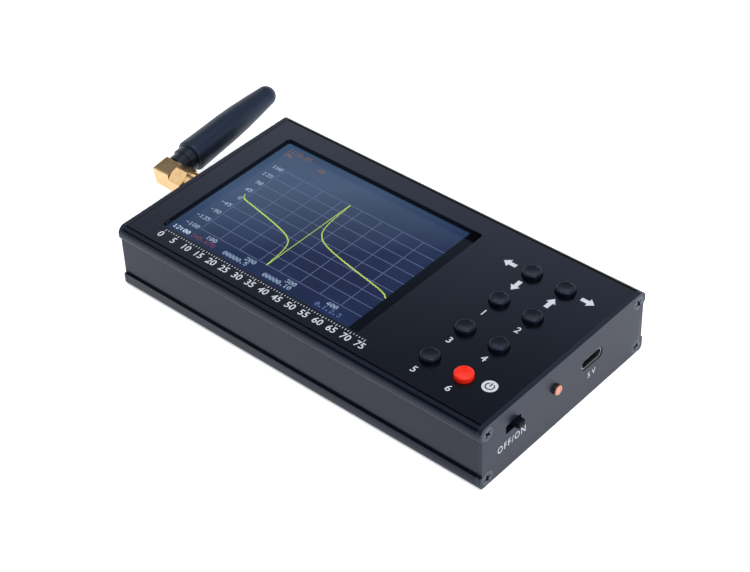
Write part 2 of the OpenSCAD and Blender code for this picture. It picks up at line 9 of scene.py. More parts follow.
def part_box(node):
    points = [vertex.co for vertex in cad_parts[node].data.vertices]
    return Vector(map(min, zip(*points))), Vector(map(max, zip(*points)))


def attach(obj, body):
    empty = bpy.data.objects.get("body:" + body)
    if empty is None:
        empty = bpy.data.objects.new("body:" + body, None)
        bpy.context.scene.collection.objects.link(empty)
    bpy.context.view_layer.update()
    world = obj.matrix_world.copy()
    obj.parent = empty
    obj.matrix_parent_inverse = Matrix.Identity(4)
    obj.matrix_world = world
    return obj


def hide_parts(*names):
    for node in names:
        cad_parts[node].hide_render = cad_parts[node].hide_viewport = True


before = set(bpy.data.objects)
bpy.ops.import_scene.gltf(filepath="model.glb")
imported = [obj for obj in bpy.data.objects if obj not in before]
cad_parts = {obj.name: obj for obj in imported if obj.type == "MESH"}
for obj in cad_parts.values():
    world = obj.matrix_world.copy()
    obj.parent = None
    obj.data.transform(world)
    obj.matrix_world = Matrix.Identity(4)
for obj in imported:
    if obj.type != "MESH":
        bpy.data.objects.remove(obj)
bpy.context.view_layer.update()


# ---- Camera, floor and light ----
# The case lies on a white table with white walls round it and a dim ceiling.
# The ceiling keeps the black top black, while the side walls mirror the table.
def linear(code, alpha=1.0):
    """An sRGB hex colour as Blender's linear colour."""
    shares = [int(code[i:i + 2], 16) / 255 for i in (1, 3, 5)]
    return [share / 12.92 if share < 0.04045 else ((share + 0.055) / 1.055) ** 2.4
            for share in shares] + [alpha]


def add(tree, kind, settings=None, **links):
    """One node with its settings, and links into it from other nodes' outputs."""
    node = tree.nodes.new("ShaderNode" + kind)
    for key, value in (settings or {}).items():
        if isinstance(key, int) or key in node.inputs:
            node.inputs[key].default_value = value
        else:
            setattr(node, key, value)
    for key, source in links.items():
        socket = int(key[1:]) if key[1:].isdigit() else key.replace("_", " ")
        tree.links.new(source, node.inputs[socket])
    return node


# The camera's place and turn were solved from the straight edges of the case.
camera_right = Vector((0.75422299, 0.65596146, -0.02936396))
camera_up = Vector((-0.40359383, 0.49839816, 0.76727524))
camera_back = Vector((0.51793793, -0.56684551, 0.64064535))
bpy.ops.object.camera_add(location=(0.282189, -0.309288, 0.360006))
camera = bpy.context.object
camera.rotation_euler = Matrix((camera_right, camera_up, camera_back)).transposed().to_euler()
camera.data.sensor_width = 36
camera.data.lens = 93.19
camera.data.clip_start = 0.01
camera.data.clip_end = 20
bpy.context.scene.camera = camera

bpy.ops.mesh.primitive_grid_add(x_subdivisions=8, y_subdivisions=8, size=8)
table = bpy.context.object
table.name = "table"

# White table: opal acrylic lit from below, a little uneven in tone. Its own
# light lifts the object's shadow.
opal = bpy.data.materials.new("lit_opal_acrylic")
opal.use_nodes = True
tree = opal.node_tree
place = add(tree, "TexCoord")
cloud = add(tree, "TexNoise", {"Scale": 2.0, "Detail": 2.0}, Vector=place.outputs["Object"])
tone = add(tree, "ValToRGB", Fac=cloud.outputs["Fac"])
tone.color_ramp.elements[0].color = linear("#f4f4f6")
tone.color_ramp.elements[1].color = linear("#fbfbfc")
shader = tree.nodes["Principled BSDF"]
shader.inputs["Roughness"].default_value = 0.7
shader.inputs["Emission Strength"].default_value = 0.5
tree.links.new(tone.outputs["Color"], shader.inputs["Base Color"])
tree.links.new(tone.outputs["Color"], shader.inputs["Emission Color"])
table.data.materials.append(opal)

# The room: white walls, then a dim bluish ceiling that gets a little lighter
# overhead. The edge between them is lower on the side the camera looks towards.
world = bpy.data.worlds.new("studio")
world.use_nodes = True
bpy.context.scene.world = world
tree = world.node_tree
view = add(tree, "TexCoord")
height = add(tree, "VectorMath", {"operation": "DOT_PRODUCT", 1: (0.0, -0.3, 1.0)},
             i0=view.outputs["Generated"])
fall = add(tree, "ValToRGB", Fac=height.outputs["Value"])
bands = fall.color_ramp.elements
bands[0].position, bands[0].color = 0.38, (1.15, 1.15, 1.15, 1)
bands[1].position, bands[1].color = 0.66, (0.30, 0.36, 0.42, 1)
for level, light in ((0.42, (0.74, 0.84, 0.96, 1)), (0.458, (0.56, 0.66, 0.78, 1)),
                     (0.472, (0.10, 0.12, 0.145, 1)), (0.50, (0.03, 0.038, 0.048, 1)),
                     (0.57, (0.05, 0.06, 0.075, 1))):
    bands.new(level).color = light
tree.links.new(fall.outputs["Color"], tree.nodes["Background"].inputs["Color"])
tree.nodes["Background"].inputs["Strength"].default_value = 1.0
bpy.context.scene.view_settings.view_transform = "Standard"


def softbox(name, place, aim, size, watts, tint):
    """A square area light at a place, turned to face a point."""
    bpy.ops.object.light_add(type="AREA", location=place)
    light = bpy.context.object
    light.name = name
    light.rotation_euler = (Vector(place) - Vector(aim)).to_track_quat("Z", "Y").to_euler()
    light.data.size = size
    light.data.energy = watts
    light.data.color = tint


softbox("top_softbox", (0.15, -0.1, 1.4), (0, 0, 0), 0.6, 9, (1.0, 0.99, 0.98))
softbox("right_softbox", (1.3, -0.3, 0.9), (0, 0, 0), 0.9, 10, (0.97, 0.985, 1.0))
# A weak one on the left shows in the slanted faces of the coupling nut.
softbox("left_softbox", (-0.75, -0.3, 0.88), (-0.08, 0, 0.01), 0.8, 1.5, (1.0, 0.98, 0.92))


# ---- Extruded case ----
# The body is one 6063 aluminium extrusion, sawn to length and black anodised.
# Its rails stand proud of the side walls, and a shadow groove runs under each
# lip that holds the front panel.
mm = 0.001


def finished(name, light, dark, patch, grain, bump, rough, stretch=(1, 1, 1), **values):
    """A material with uneven tone, uneven gloss and a fine surface relief.
    patch and grain are pattern sizes in millimetres, bump the relief's height."""
    material = bpy.data.materials.new(name)
    material.use_nodes = True
    nodes = material.node_tree
    shader = nodes.nodes["Principled BSDF"]
    for key, value in values.items():
        shader.inputs[key.replace("_", " ")].default_value = value
    place = add(nodes, "TexCoord")
    turned = add(nodes, "Mapping", {"Scale": stretch}, Vector=place.outputs["Object"])
    broad = add(nodes, "TexNoise", {"Scale": 1 / (patch * mm), "Detail": 3.0},
                Vector=turned.outputs["Vector"])
    fine = add(nodes, "TexNoise", {"Scale": 1 / (grain * mm), "Detail": 2.0},
               Vector=turned.outputs["Vector"])
    tone = add(nodes, "ValToRGB", Fac=broad.outputs["Fac"])
    tone.color_ramp.elements[0].position = 0.3
    tone.color_ramp.elements[1].position = 0.7
    tone.color_ramp.elements[0].color = linear(dark)
    tone.color_ramp.elements[1].color = linear(light)
    gloss = add(nodes, "MapRange", {3: rough[0], 4: rough[1]}, Value=fine.outputs["Fac"])
    relief = add(nodes, "Bump", {"Strength": 1.0, "Distance": bump * mm},
                 Height=fine.outputs["Fac"])
    nodes.links.new(tone.outputs["Color"], shader.inputs["Base Color"])
    nodes.links.new(gloss.outputs["Result"], shader.inputs["Roughness"])
    nodes.links.new(relief.outputs["Normal"], shader.inputs["Normal"])
    return material


def rounded_copy(node, body, material, radius=0.12, sharp=28, smooth=30):
    """A merged copy of a CAD node with its edges rounded, shown in the node's place.
    Edges sharper than sharp degrees get the radius, in millimetres."""
    piece = bpy.data.objects.new(node + "_finished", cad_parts[node].data.copy())
    bpy.context.scene.collection.objects.link(piece)
    piece.data.materials.clear()
    piece.data.materials.append(material)
    bpy.ops.object.select_all(action="DESELECT")
    piece.select_set(True)
    bpy.context.view_layer.objects.active = piece
    bpy.ops.object.mode_set(mode="EDIT")
    bpy.ops.mesh.select_all(action="SELECT")
    bpy.ops.mesh.remove_doubles(threshold=0.002 * mm)
    bpy.ops.mesh.dissolve_limited(angle_limit=math.radians(0.5))
    bpy.ops.object.mode_set(mode="OBJECT")
    for polygon in piece.data.polygons:
        polygon.material_index = 0
    bevel = piece.modifiers.new("edge", "BEVEL")
    bevel.width = radius * mm
    bevel.segments = 3
    bevel.limit_method = "ANGLE"
    bevel.angle_limit = math.radians(sharp)
    bevel.miter_outer = "MITER_ARC"
    bpy.ops.object.shade_smooth_by_angle(angle=math.radians(smooth))
    bevel.harden_normals = True
    bpy.ops.object.modifier_apply(modifier="edge")
    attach(piece, body)
    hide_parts(node)
    return piece


# Black anodised extrusion: satin, with faint draw lines along the case and a
# slightly blue cast where it mirrors the room.
anodised_case = finished("black_anodised_extrusion", "#0a0c14", "#080a11", 18, 0.5, 0.003,
                         (0.22, 0.30), stretch=(0.06, 1, 1), IOR=1.5,
                         Specular_IOR_Level=0.28, Specular_Tint=(0.54, 0.64, 1.0, 1))
rounded_copy("case_body", "housing", anodised_case, radius=0.15)


# ---- Front panel ----
# A flat aluminium sheet slid into the slots of the extrusion. The window and
# the key holes are milled, and the sheet is bead blasted and black anodised.
# Blasted anodising: even satin with a fine grit.
anodised_panel = finished("blasted_anodised_sheet", "#090b0f", "#07090c", 30, 0.22, 0.0025,
                          (0.15, 0.20), IOR=1.5, Specular_Tint=(0.54, 0.62, 1.0, 1))
rounded_copy("front_panel", "housing", anodised_panel, radius=0.22)


# ---- End plates and their screws ----
# Two punched aluminium plates close the ends. Each is held by four black
# countersunk screws driven into the screw channels of the extrusion.
# Punched sheet with a fine grit, in the extrusion's black anodising. Its lighter grey
# is painted light, for the light and the table's reflection that the plates catch.
end_plate_anodise_painted_light = finished("anodised_end_plate_painted_light", "#121724", "#0f131d", 14, 0.3, 0.004,
                          (0.30, 0.40), IOR=1.5, Specular_IOR_Level=0.31,
                          Specular_Tint=(0.56, 0.66, 1.0, 1))
for end in ("usb", "antenna"):
    rounded_copy(end + "_end_plate", "housing", end_plate_anodise_painted_light, radius=0.15)

# Black oxide on steel: dark, oily and brighter where the driver has rubbed it.
black_oxide = finished("black_oxide_steel", "#545a66", "#383d47", 1.5, 0.25, 0.005,
                       (0.25, 0.40), Metallic=1.0)
for end in ("usb", "antenna"):
    rounded_copy(end + "_plate_screws", "housing", black_oxide,
                 radius=0.05)


# ---- Display ----
# A colour liquid crystal panel behind the window: a glass with a black border,
# and the lit picture area under it. A foam gasket seals it to the panel.
pixel = 0.219 * mm
picture_left = -58.1 * mm
picture_top = 27.2 * mm
picture_columns = 320
picture_rows = 240
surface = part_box("display_glass")[1].z


def dress(material, *nodes):
    """Gives CAD nodes a finish and leaves their shape alone."""
    for node in nodes:
        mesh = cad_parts[node].data
        mesh.materials.clear()
        mesh.materials.append(material)


# Border of the glass: black ink under a smooth hard surface.
border_glass = finished("black_bordered_glass", "#070a12", "#05070d", 20, 1.5, 0.0005,
                        (0.12, 0.18), IOR=1.5, Specular_IOR_Level=0.15,
                        Specular_Tint=(0.45, 0.60, 1.0, 1))
dress(border_glass, "display_glass")

# Closed-cell foam: dull black with open pores.
gasket_foam = finished("black_cell_foam", "#141517", "#0a0b0c", 3, 0.4, 0.05, (0.85, 0.95))
dress(gasket_foam, "display_gasket")

# Bare sheet metal frame and its shield, brushed along its length.
bezel_metal = finished("brushed_sheet_metal", "#b9bcc2", "#a4a8ae", 4, 0.3, 0.006,
                       (0.3, 0.42), stretch=(0.1, 1, 1), Metallic=1.0)
dress(bezel_metal, "display_frame")

# Polyimide film: amber, glossy and slightly uneven.
amber_film = finished("polyimide_film", "#b0652a", "#97521f", 3, 0.6, 0.004, (0.25, 0.35))
dress(amber_film, "display_flex")


def slab(name, low, high, material, body="housing", round_off=0.0):
    """A block between two corners, with its edges eased if asked."""
    middle = (Vector(low) + Vector(high)) / 2
    bpy.ops.object.select_all(action="DESELECT")
    bpy.ops.mesh.primitive_cube_add(size=1, location=middle)
    piece = bpy.context.object
    piece.name = name
    piece.scale = Vector(high) - Vector(low)
    bpy.ops.object.transform_apply(location=True, rotation=True, scale=True)
    if round_off:
        bevel = piece.modifiers.new("edge", "BEVEL")
        bevel.width = round_off
        bevel.segments = 3
        bpy.ops.object.modifier_apply(modifier="edge")
        bpy.ops.object.shade_smooth_by_angle(angle=math.radians(30))
    piece.data.materials.append(material)
    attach(piece, body)
    return piece


# Lit picture area: navy, with the dark lattice between the pixels. Over it lies a
# painted reflection of the white room, greyish and strongest towards the back left.
lit_picture = bpy.data.materials.new("backlit_liquid_crystal")
lit_picture.use_nodes = True
tree = lit_picture.node_tree
place = add(tree, "TexCoord")
cells = add(tree, "Mapping", {"Scale": (1 / pixel, 1 / pixel, 1)},
            Vector=place.outputs["Object"])
parts = add(tree, "SeparateXYZ", Vector=cells.outputs["Vector"])
across = add(tree, "Math", {"operation": "PINGPONG", 1: 0.5}, i0=parts.outputs["X"])
down = add(tree, "Math", {"operation": "PINGPONG", 1: 0.5}, i0=parts.outputs["Y"])
nearest = add(tree, "Math", {"operation": "MINIMUM"}, i0=across.outputs[0], i1=down.outputs[0])
lattice = add(tree, "MapRange", {1: 0.04, 2: 0.14, 3: 0.55, 4: 1.0}, Value=nearest.outputs[0])
drift = add(tree, "TexNoise", {"Scale": 45.0, "Detail": 1.0}, Vector=place.outputs["Object"])
navy = add(tree, "ValToRGB", Fac=drift.outputs["Fac"])
navy.color_ramp.elements[0].position = 0.35
navy.color_ramp.elements[1].position = 0.65
navy.color_ramp.elements[0].color = linear("#132147")
navy.color_ramp.elements[1].color = linear("#1a2b54")
glow = add(tree, "Mix", {"data_type": "RGBA", "blend_type": "MULTIPLY", "Factor": 1.0})
tree.links.new(navy.outputs["Color"], glow.inputs[6])
tree.links.new(lattice.outputs[0], glow.inputs[7])
# Painted reflection: a greyish glow added to the emission, rising towards the back left.
painted_reflection_axis = add(tree, "VectorMath", {"operation": "DOT_PRODUCT", 1: (-0.8, 1.0, 0.0)},
           i0=place.outputs["Object"])
painted_reflection_ramp = add(tree, "ValToRGB")
painted_reflection_ramp.color_ramp.elements[0].color = linear("#000000")
painted_reflection_ramp.color_ramp.elements[1].color = linear("#3a4a58")
reach = add(tree, "MapRange", {1: 6 * mm, 2: 44 * mm}, Value=painted_reflection_axis.outputs["Value"])
tree.links.new(reach.outputs[0], painted_reflection_ramp.inputs["Fac"])
navy_and_painted_reflection = add(tree, "Mix", {"data_type": "RGBA", "blend_type": "ADD", "Factor": 1.0})
tree.links.new(glow.outputs[2], navy_and_painted_reflection.inputs[6])
tree.links.new(painted_reflection_ramp.outputs["Color"], navy_and_painted_reflection.inputs[7])
shader = tree.nodes["Principled BSDF"]
shader.inputs["Base Color"].default_value = linear("#05070c")
shader.inputs["Roughness"].default_value = 0.22
shader.inputs["Specular IOR Level"].default_value = 0.15
shader.inputs["Emission Strength"].default_value = 1.0
tree.links.new(navy_and_painted_reflection.outputs[2], shader.inputs["Emission Color"])

picture_right = picture_left + picture_columns * pixel
picture_bottom = picture_top - picture_rows * pixel
slab("display_picture", (picture_left, picture_bottom, surface - 0.05 * mm),
     (picture_right, picture_top, surface + 0.02 * mm), lit_picture)


def ink(name, colour, strength):
    """The light of one pixel colour, a little uneven across the picture."""
    material = bpy.data.materials.new(name)
    material.use_nodes = True
    nodes = material.node_tree
    place = add(nodes, "TexCoord")
    drift = add(nodes, "TexNoise", {"Scale": 300.0, "Detail": 1.0}, Vector=place.outputs["Object"])
    level = add(nodes, "ValToRGB", Fac=drift.outputs["Fac"])
    level.color_ramp.elements[0].position = 0.3
    level.color_ramp.elements[1].position = 0.7
    level.color_ramp.elements[0].color = [c * 0.82 for c in linear(colour)[:3]] + [1]
    level.color_ramp.elements[1].color = linear(colour)
    shader = nodes.nodes["Principled BSDF"]
    shader.inputs["Base Color"].default_value = linear("#05070c")
    shader.inputs["Roughness"].default_value = 0.3
    shader.inputs["Emission Strength"].default_value = strength
    nodes.links.new(level.outputs["Color"], shader.inputs["Emission Color"])
    return material


def lit_cells(name, cells, material, rise=0.01):
    """Lit pixels as thin blocks on the picture. A cell is (column, row, width,
    height). Hundreds of one-pixel blocks are laid out directly."""
    corners, faces = [], []
    low, high = surface + 0.02 * mm, surface + (0.02 + rise) * mm
    for column, row, width, height in cells:
        left, top = picture_left + column * pixel, picture_top - row * pixel
        right, bottom = left + width * pixel, top - height * pixel
        start = len(corners)
        corners += [(x, y, z) for z in (low, high)
                    for x, y in ((left, bottom), (right, bottom), (right, top), (left, top))]
        faces += [[start + corner for corner in side] for side in
                  ((3, 2, 1, 0), (4, 5, 6, 7), (0, 1, 5, 4), (1, 2, 6, 5), (2, 3, 7, 6),
                   (3, 0, 4, 7))]
    mesh = bpy.data.meshes.new(name)
    mesh.from_pydata(corners, [], faces)
    piece = bpy.data.objects.new(name, mesh)
    bpy.context.scene.collection.objects.link(piece)
    mesh.materials.append(material)
    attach(piece, "housing")


# The graticule, in pixels of the picture.
grid_left, grid_right, grid_top, grid_bottom = 40, 320, 52, 212
grid_column, grid_row = 35, 20
rules = [(column, grid_top, 1, grid_bottom - grid_top + 1)
         for column in range(grid_left, grid_right, grid_column)]
rules += [(grid_left, row, grid_right - grid_left, 1)
          for row in range(grid_top, grid_bottom + 1, grid_row)]
lit_cells("display_graticule", rules, ink("pale_blue_pixels", "#7c90d0", 0.45))

# The measured curve swings through a pole, drawn two pixels wide. It starts a
# little left of the graticule.
curve_start, pole = 34, 159


def curve_row(column):
    """Height of the curve over a picture column, as a row of the picture: a slope,
    a branch of a hyperbola towards the pole, and a short hook at the outer end."""
    if column < pole + 0.5:
        hook = -7 * math.exp(-(column - curve_start) / 3)
        slope = 129.5 + 0.165 * (column - 42.5)
        return min(grid_bottom, slope + 190 / (pole + 2.5 - column) + hook)
    hook = 6 * math.exp((column - grid_right + 1) / 7)
    slope = 139 + 0.151 * (column - 163.8)
    return max(grid_top + 1, slope - 260 / (column - pole + 1.5) + hook)


trace = []
for column in range(curve_start, grid_right):
    here, there = sorted((curve_row(column), curve_row(column + 1)))
    trace.append((column, int(here), 1, max(2, int(there) - int(here) + 1)))
trace.append((pole, grid_top + 1, 1, grid_bottom - grid_top))
lit_cells("display_trace", trace, ink("lime_pixels", "#b4d050", 1.15), rise=0.02)

# Figures of the display's font, 5 by 7 pixels, one row of bits after another.
figures = {"0": "0E11131519110E", "1": "040C040404040E", "2": "0E11010204081F",
           "3": "1F02040201110E", "4": "02060A121F0202", "5": "1F101E0101110E",
           "6": "0608101E11110E", "7": "1F010204080808", "8": "0E11110E11110E",
           "9": "0E11110F01020C", "-": "0000001F000000", ".": "00000000000C0C",
           ":": "000C0C000C0C00"}


def figure_cells(text, column, row):
    """Lit cells of a line of figures that starts at a column and row."""
    cells = []
    for place, letter in enumerate(text):
        bits = figures.get(letter, "00" * 7)
        for line in range(7):
            value = int(bits[2 * line:2 * line + 2], 16)
            for bit in range(5):
                if value >> (4 - bit) & 1:
                    cells.append((column + 6 * place + bit, row + line, 1, 1))
    return cells


scale_row, status_row, marker_rows = 216, 225, (8, 18)
scale_cells = []
for step, value in enumerate(range(180, -181, -45)):
    text = str(value)
    scale_cells += figure_cells(text, grid_left - 2 - 6 * len(text),
                                grid_top - 3 + grid_row * step)
for column, text in ((68, "100"), (138, "200"), (208, "300"), (278, "400")):
    scale_cells += figure_cells(text, column - 9, scale_row)
lit_cells("display_scale_figures", scale_cells, ink("sky_pixels", "#b4d0f0", 0.75))
lit_cells("display_range_figures",
          figure_cells("00000.5", 98, status_row) + figure_cells("00000.10", 168, status_row),
          bpy.data.materials["sky_pixels"])
lit_cells("display_count_figures", figure_cells("0.1.2.3", 258, status_row),
          ink("dim_blue_pixels", "#6a86c4", 0.8))
lit_cells("display_alarm_figures", figure_cells("345.678", 40, status_row),
          ink("wine_pixels", "#8a2f4c", 0.8))
lit_cells("display_mode_figures", figure_cells("12:00", 7, status_row),
          ink("white_blue_pixels", "#d4ecff", 1.1))
lit_cells("display_marker_figures",
          figure_cells("1:20.05", 12, marker_rows[0]) + figure_cells("24.", 12, marker_rows[1])
          + figure_cells("45", 74, marker_rows[1]),
          ink("copper_pixels", "#a8785c", 0.6))
frame_rules = [(8, 1, 82, 1), (8, 49, 82, 1), (8, 1, 1, 49), (89, 1, 1, 49)]
lit_cells("display_marker_frame", frame_rules, ink("teal_pixels", "#2f6a94", 0.7))


# ---- Print on the panel and the right plate ----
# White ink, screen printed in one pass after anodising. It stands a few
# hundredths of a millimetre proud and breaks up slightly over the grit.
printing_ink = finished("white_screen_ink", "#cfd2d8", "#bcc0c7", 0.8, 0.25, 0.006,
                        (0.55, 0.7))
panel_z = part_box("front_panel")[1].z
ink_height = 0.03 * mm


def settle(piece, name, material=None, body="housing"):
    """Names a piece, puts its place into its mesh and lets it ride."""
    bpy.ops.object.select_all(action="DESELECT")
    piece.select_set(True)
    bpy.context.view_layer.objects.active = piece
    if piece.type != "MESH":
        bpy.ops.object.convert(target="MESH")
    bpy.ops.object.transform_apply(location=True, rotation=True, scale=True)
    piece = bpy.context.object
    piece.name = name
    piece.data.materials.clear()
    piece.data.materials.append(material or printing_ink)
    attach(piece, body)
    return piece


def join(pieces):
    """Joins pieces into the first."""
    bpy.ops.object.select_all(action="DESELECT")
    for piece in pieces:
        piece.select_set(True)
    bpy.context.view_layer.objects.active = pieces[0]
    bpy.ops.object.join()
    return pieces[0]


def arrow(name, x, y, turn, length=4.3, width=3.3, shaft=1.35):
    """A printed arrow that points along +X before it is turned: a stem and a
    three-sided head, with its middle at a place. Sizes in millimetres."""
    head = 2.0
    bpy.ops.object.select_all(action="DESELECT")
    bpy.ops.mesh.primitive_cube_add(size=1)
    stem = bpy.context.object
    stem.scale = ((length - head + 0.02) * mm, shaft * mm, ink_height)
    stem.location = ((-length / 2 + (length - head) / 2) * mm, 0, 0)
    bpy.ops.object.transform_apply(location=True, rotation=True, scale=True)
    bpy.ops.mesh.primitive_cylinder_add(vertices=3, radius=1, depth=1,
                                        rotation=(0, 0, -math.pi / 2))
    tip = bpy.context.object
    bpy.ops.object.transform_apply(location=True, rotation=True, scale=True)
    tip.scale = (head / 1.5 * mm, width / math.sqrt(3) * mm, ink_height)
    tip.location = ((length / 2 - head / 1.5) * mm, 0, 0)
    bpy.ops.object.transform_apply(location=True, rotation=True, scale=True)
    piece = join([stem, tip])
    piece.rotation_euler.z = math.radians(turn)
    piece.location = (x * mm, y * mm, panel_z + ink_height / 2)
    return settle(piece, name)


arrow("print_arrow_left", 30.6, 21.6, 180)
arrow("print_arrow_right", 57.0, 21.6, 0)
arrow("print_arrow_down", 37.7, 15.0, -90, 4.4, 3.0)
arrow("print_arrow_up", 49.4, 15.0, 90, 4.4, 3.0)


def figures_print(name, text, x, y, size, align="CENTER", body="housing"):
    """Printed figures on the panel, their middle or left end at a place."""
    bpy.ops.object.text_add()
    line = bpy.context.object
    line.data.body = text
    line.data.size = size * mm / 0.7
    line.data.align_x = align
    line.data.align_y = "CENTER"
    line.data.extrude = ink_height / 2
    line.data.offset = 0.03 * mm
    line.data.resolution_u = 4
    line.location = (x * mm, y * mm, panel_z + ink_height / 2)
    return settle(line, name, body=body)


figure_size = 2.3
figure_places = [(37.9, 0.65), (49.45, 0.65), (37.9, -13.7), (49.45, -13.7), (37.9, -28.3),
                 (49.45, -28.3)]
for number, (x, y) in enumerate(figure_places, 1):
    figures_print("print_key_figure_%d" % number, str(number), x, y, figure_size)


def tile(size, middle):
    """A thin block of a size at a place, with its place in its mesh."""
    bpy.ops.object.select_all(action="DESELECT")
    bpy.ops.mesh.primitive_cube_add(size=1)
    block = bpy.context.object
    block.scale = size
    block.location = middle
    bpy.ops.object.transform_apply(location=True, rotation=True, scale=True)
    return block


# A printed millimetre rule under the display, with a figure every 5 mm.
rule_left, rule_back, rule_length = -54.3, -27.5, 75
ticks = []
for step in range(rule_length + 1):
    height = 0.9 if step % 5 == 0 else 0.5
    ticks.append(tile((0.2 * mm, height * mm, ink_height),
                      ((rule_left + step) * mm, (rule_back - height / 2) * mm,
                       panel_z + ink_height / 2)))
settle(join(ticks), "print_rule_ticks")
for step in range(0, rule_length + 1, 5):
    figures_print("print_rule_figure_%d" % step, str(step), rule_left + step,
                  rule_back - 2.6, figure_size)

# Power mark: a white disc with a broken ring and a stroke in the panel's black.
power_x, power_y = 57.25, -21.0
bpy.ops.object.select_all(action="DESELECT")
bpy.ops.mesh.primitive_cylinder_add(vertices=64, radius=2.2 * mm, depth=ink_height,
                                    location=(power_x * mm, power_y * mm,
                                              panel_z + ink_height / 2))
settle(bpy.context.object, "print_power_disc")
power_black = finished("black_screen_ink", "#15171b", "#101215", 0.8, 0.25, 0.004, (0.5, 0.6))


def bow(name, radius, width, gap, x, y, z):
    """A flat broken ring with its gap towards +Y."""
    corners, faces = [], []
    steps = 40
    for step in range(steps + 1):
        angle = math.radians(90 + gap / 2 + (360 - gap) * step / steps)
        for reach in (radius - width / 2, radius + width / 2):
            for rise in (0, ink_height):
                corners.append(((x + reach * math.cos(angle)) * mm,
                                (y + reach * math.sin(angle)) * mm, z + rise))
    for step in range(steps):
        here, there = 4 * step, 4 * step + 4
        faces += [(here, there, there + 2, here + 2), (here + 1, here + 3, there + 3, there + 1),
                  (here, here + 1, there + 1, there), (here + 2, there + 2, there + 3, here + 3)]
    last = 4 * steps
    faces += [(0, 2, 3, 1), (last, last + 1, last + 3, last + 2)]
    mesh = bpy.data.meshes.new(name)
    mesh.from_pydata(corners, [], faces)
    piece = bpy.data.objects.new(name, mesh)
    bpy.context.scene.collection.objects.link(piece)
    return piece


disc_top = panel_z + ink_height
stroke_width = 0.36
settle(bow("bow", 1.2, stroke_width, 70, power_x, power_y, disc_top), "print_power_ring",
       power_black)
slab("print_power_stroke", ((power_x - stroke_width / 2) * mm, (power_y - 0.1) * mm, disc_top),
     ((power_x + stroke_width / 2) * mm, (power_y + 1.4) * mm, disc_top + ink_height),
     power_black)

plate_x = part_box("usb_end_plate")[1].x


def plate_print(name, text, size, y, z, spacing=1.0, width=1.0):
    """Text printed on the right end plate, with its middle at a place."""
    bpy.ops.object.text_add()
    line = bpy.context.object
    line.data.body = text
    line.data.size = size * mm
    line.data.align_x = "CENTER"
    line.data.align_y = "CENTER"
    line.data.extrude = ink_height / 2
    line.data.space_character = spacing
    line.data.resolution_u = 4
    line.rotation_euler = (math.pi / 2, 0, math.pi / 2)
    line.scale.x = width
    line.location = (plate_x + ink_height / 2, y * mm, z * mm)
    settle(line, name)


plate_print("print_switch_states", "OFF/ON", 3.2, -22.8, 8.6, spacing=1.25, width=0.87)
plate_print("print_supply_voltage", "5 V", 2.6, 11.8, 7.4)


# ---- Keys ----
# Eight round caps of moulded ABS stand out of the milled holes. A flange under
# the panel keeps each from falling out, and each rests on a switch's plunger.
# Moulded ABS, satin from a spark-eroded mould: black caps and a red one.
black_abs = finished("moulded_black_abs", "#0a0d14", "#070a10", 2.5, 0.12, 0.003, (0.26, 0.34),
                     IOR=1.5, Specular_IOR_Level=0.36, Specular_Tint=(0.46, 0.58, 1.0, 1))
red_abs = finished("moulded_red_abs", "#f2280c", "#e62006", 2.5, 0.12, 0.003, (0.28, 0.36),
                   IOR=1.5, Specular_IOR_Level=0.3)
key_names = ("left", "right", "down", "up", "three", "four", "five", "power")
for key in key_names:
    red = key == "power"
    rounded_copy("key_" + key, key + "_key", red_abs if red else black_abs,
                 radius=0.1, smooth=40)

# Acetal plungers, natural white, and switch bodies of black glass-filled nylon.
natural_pom = finished("natural_acetal", "#ddd6c4", "#cfc8b6", 1.0, 0.1, 0.002, (0.35, 0.45))
dress(natural_pom, *["plunger_" + key for key in key_names])
switch_nylon = finished("moulded_black_nylon", "#1a1b1e", "#131416", 1.5, 0.1, 0.004,
                        (0.5, 0.6))
dress(switch_nylon, "key_switches")


# ---- Right end: lever, LED and charging socket ----
# The slide switch's ribbed nylon lever stands out of its slot. A 3 mm tinted
# epoxy LED looks through a round hole, and the socket sits in a long one.
# Black nylon, worn to a soft satin by fingers.
lever_nylon = finished("slide_lever_nylon", "#0c0e12", "#090a0d", 1.2, 0.1, 0.003, (0.35, 0.45),
                       IOR=1.5, Specular_IOR_Level=0.15, Specular_Tint=(0.6, 0.7, 1.0, 1))
rounded_copy("power_switch_lever", "slide_lever", lever_nylon, radius=0.12)
lever_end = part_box("power_switch_lever")[1].x
lever_y, slot_z = -20.9 * mm, 13.8 * mm
rib_pitch, rib_half_width, rib_half_height = 0.9 * mm, 0.2 * mm, 0.9 * mm
for rib in range(3):
    middle = lever_y + (rib - 1) * rib_pitch
    slab("lever_rib_%d" % (rib + 1),
         (lever_end - 0.1 * mm, middle - rib_half_width, slot_z - rib_half_height),
         (lever_end + 0.2 * mm, middle + rib_half_width, slot_z + rib_half_height),
         lever_nylon, "slide_lever", 0.06 * mm)

# Tin-plated steel can of the switch, stamped and folded.
switch_can = finished("stamped_tin_plate", "#8d9096", "#777a80", 2.0, 0.2, 0.004, (0.3, 0.45),
                      Metallic=1.0)
dress(switch_can, "power_switch_body")

# Salmon epoxy with flow marks. The sides of its body get a near-black painted shade,
# for the shade of the hole it sits in, and only the face shows the salmon.
led_epoxy = finished("tinted_led_epoxy", "#da907c", "#ba6a55", 0.9, 0.35, 0.004, (0.25, 0.4),
                     stretch=(1, 1, 0.35), IOR=1.5, Emission_Strength=0.04,
                     Emission_Color=linear("#f08a6c"))
led_side_painted_shade = finished("led_epoxy_painted_shade", "#241d1f", "#141517", 0.6, 0.2, 0.003,
                     (0.3, 0.45))
led = rounded_copy("status_led", "housing", led_epoxy, radius=0.08, smooth=40)
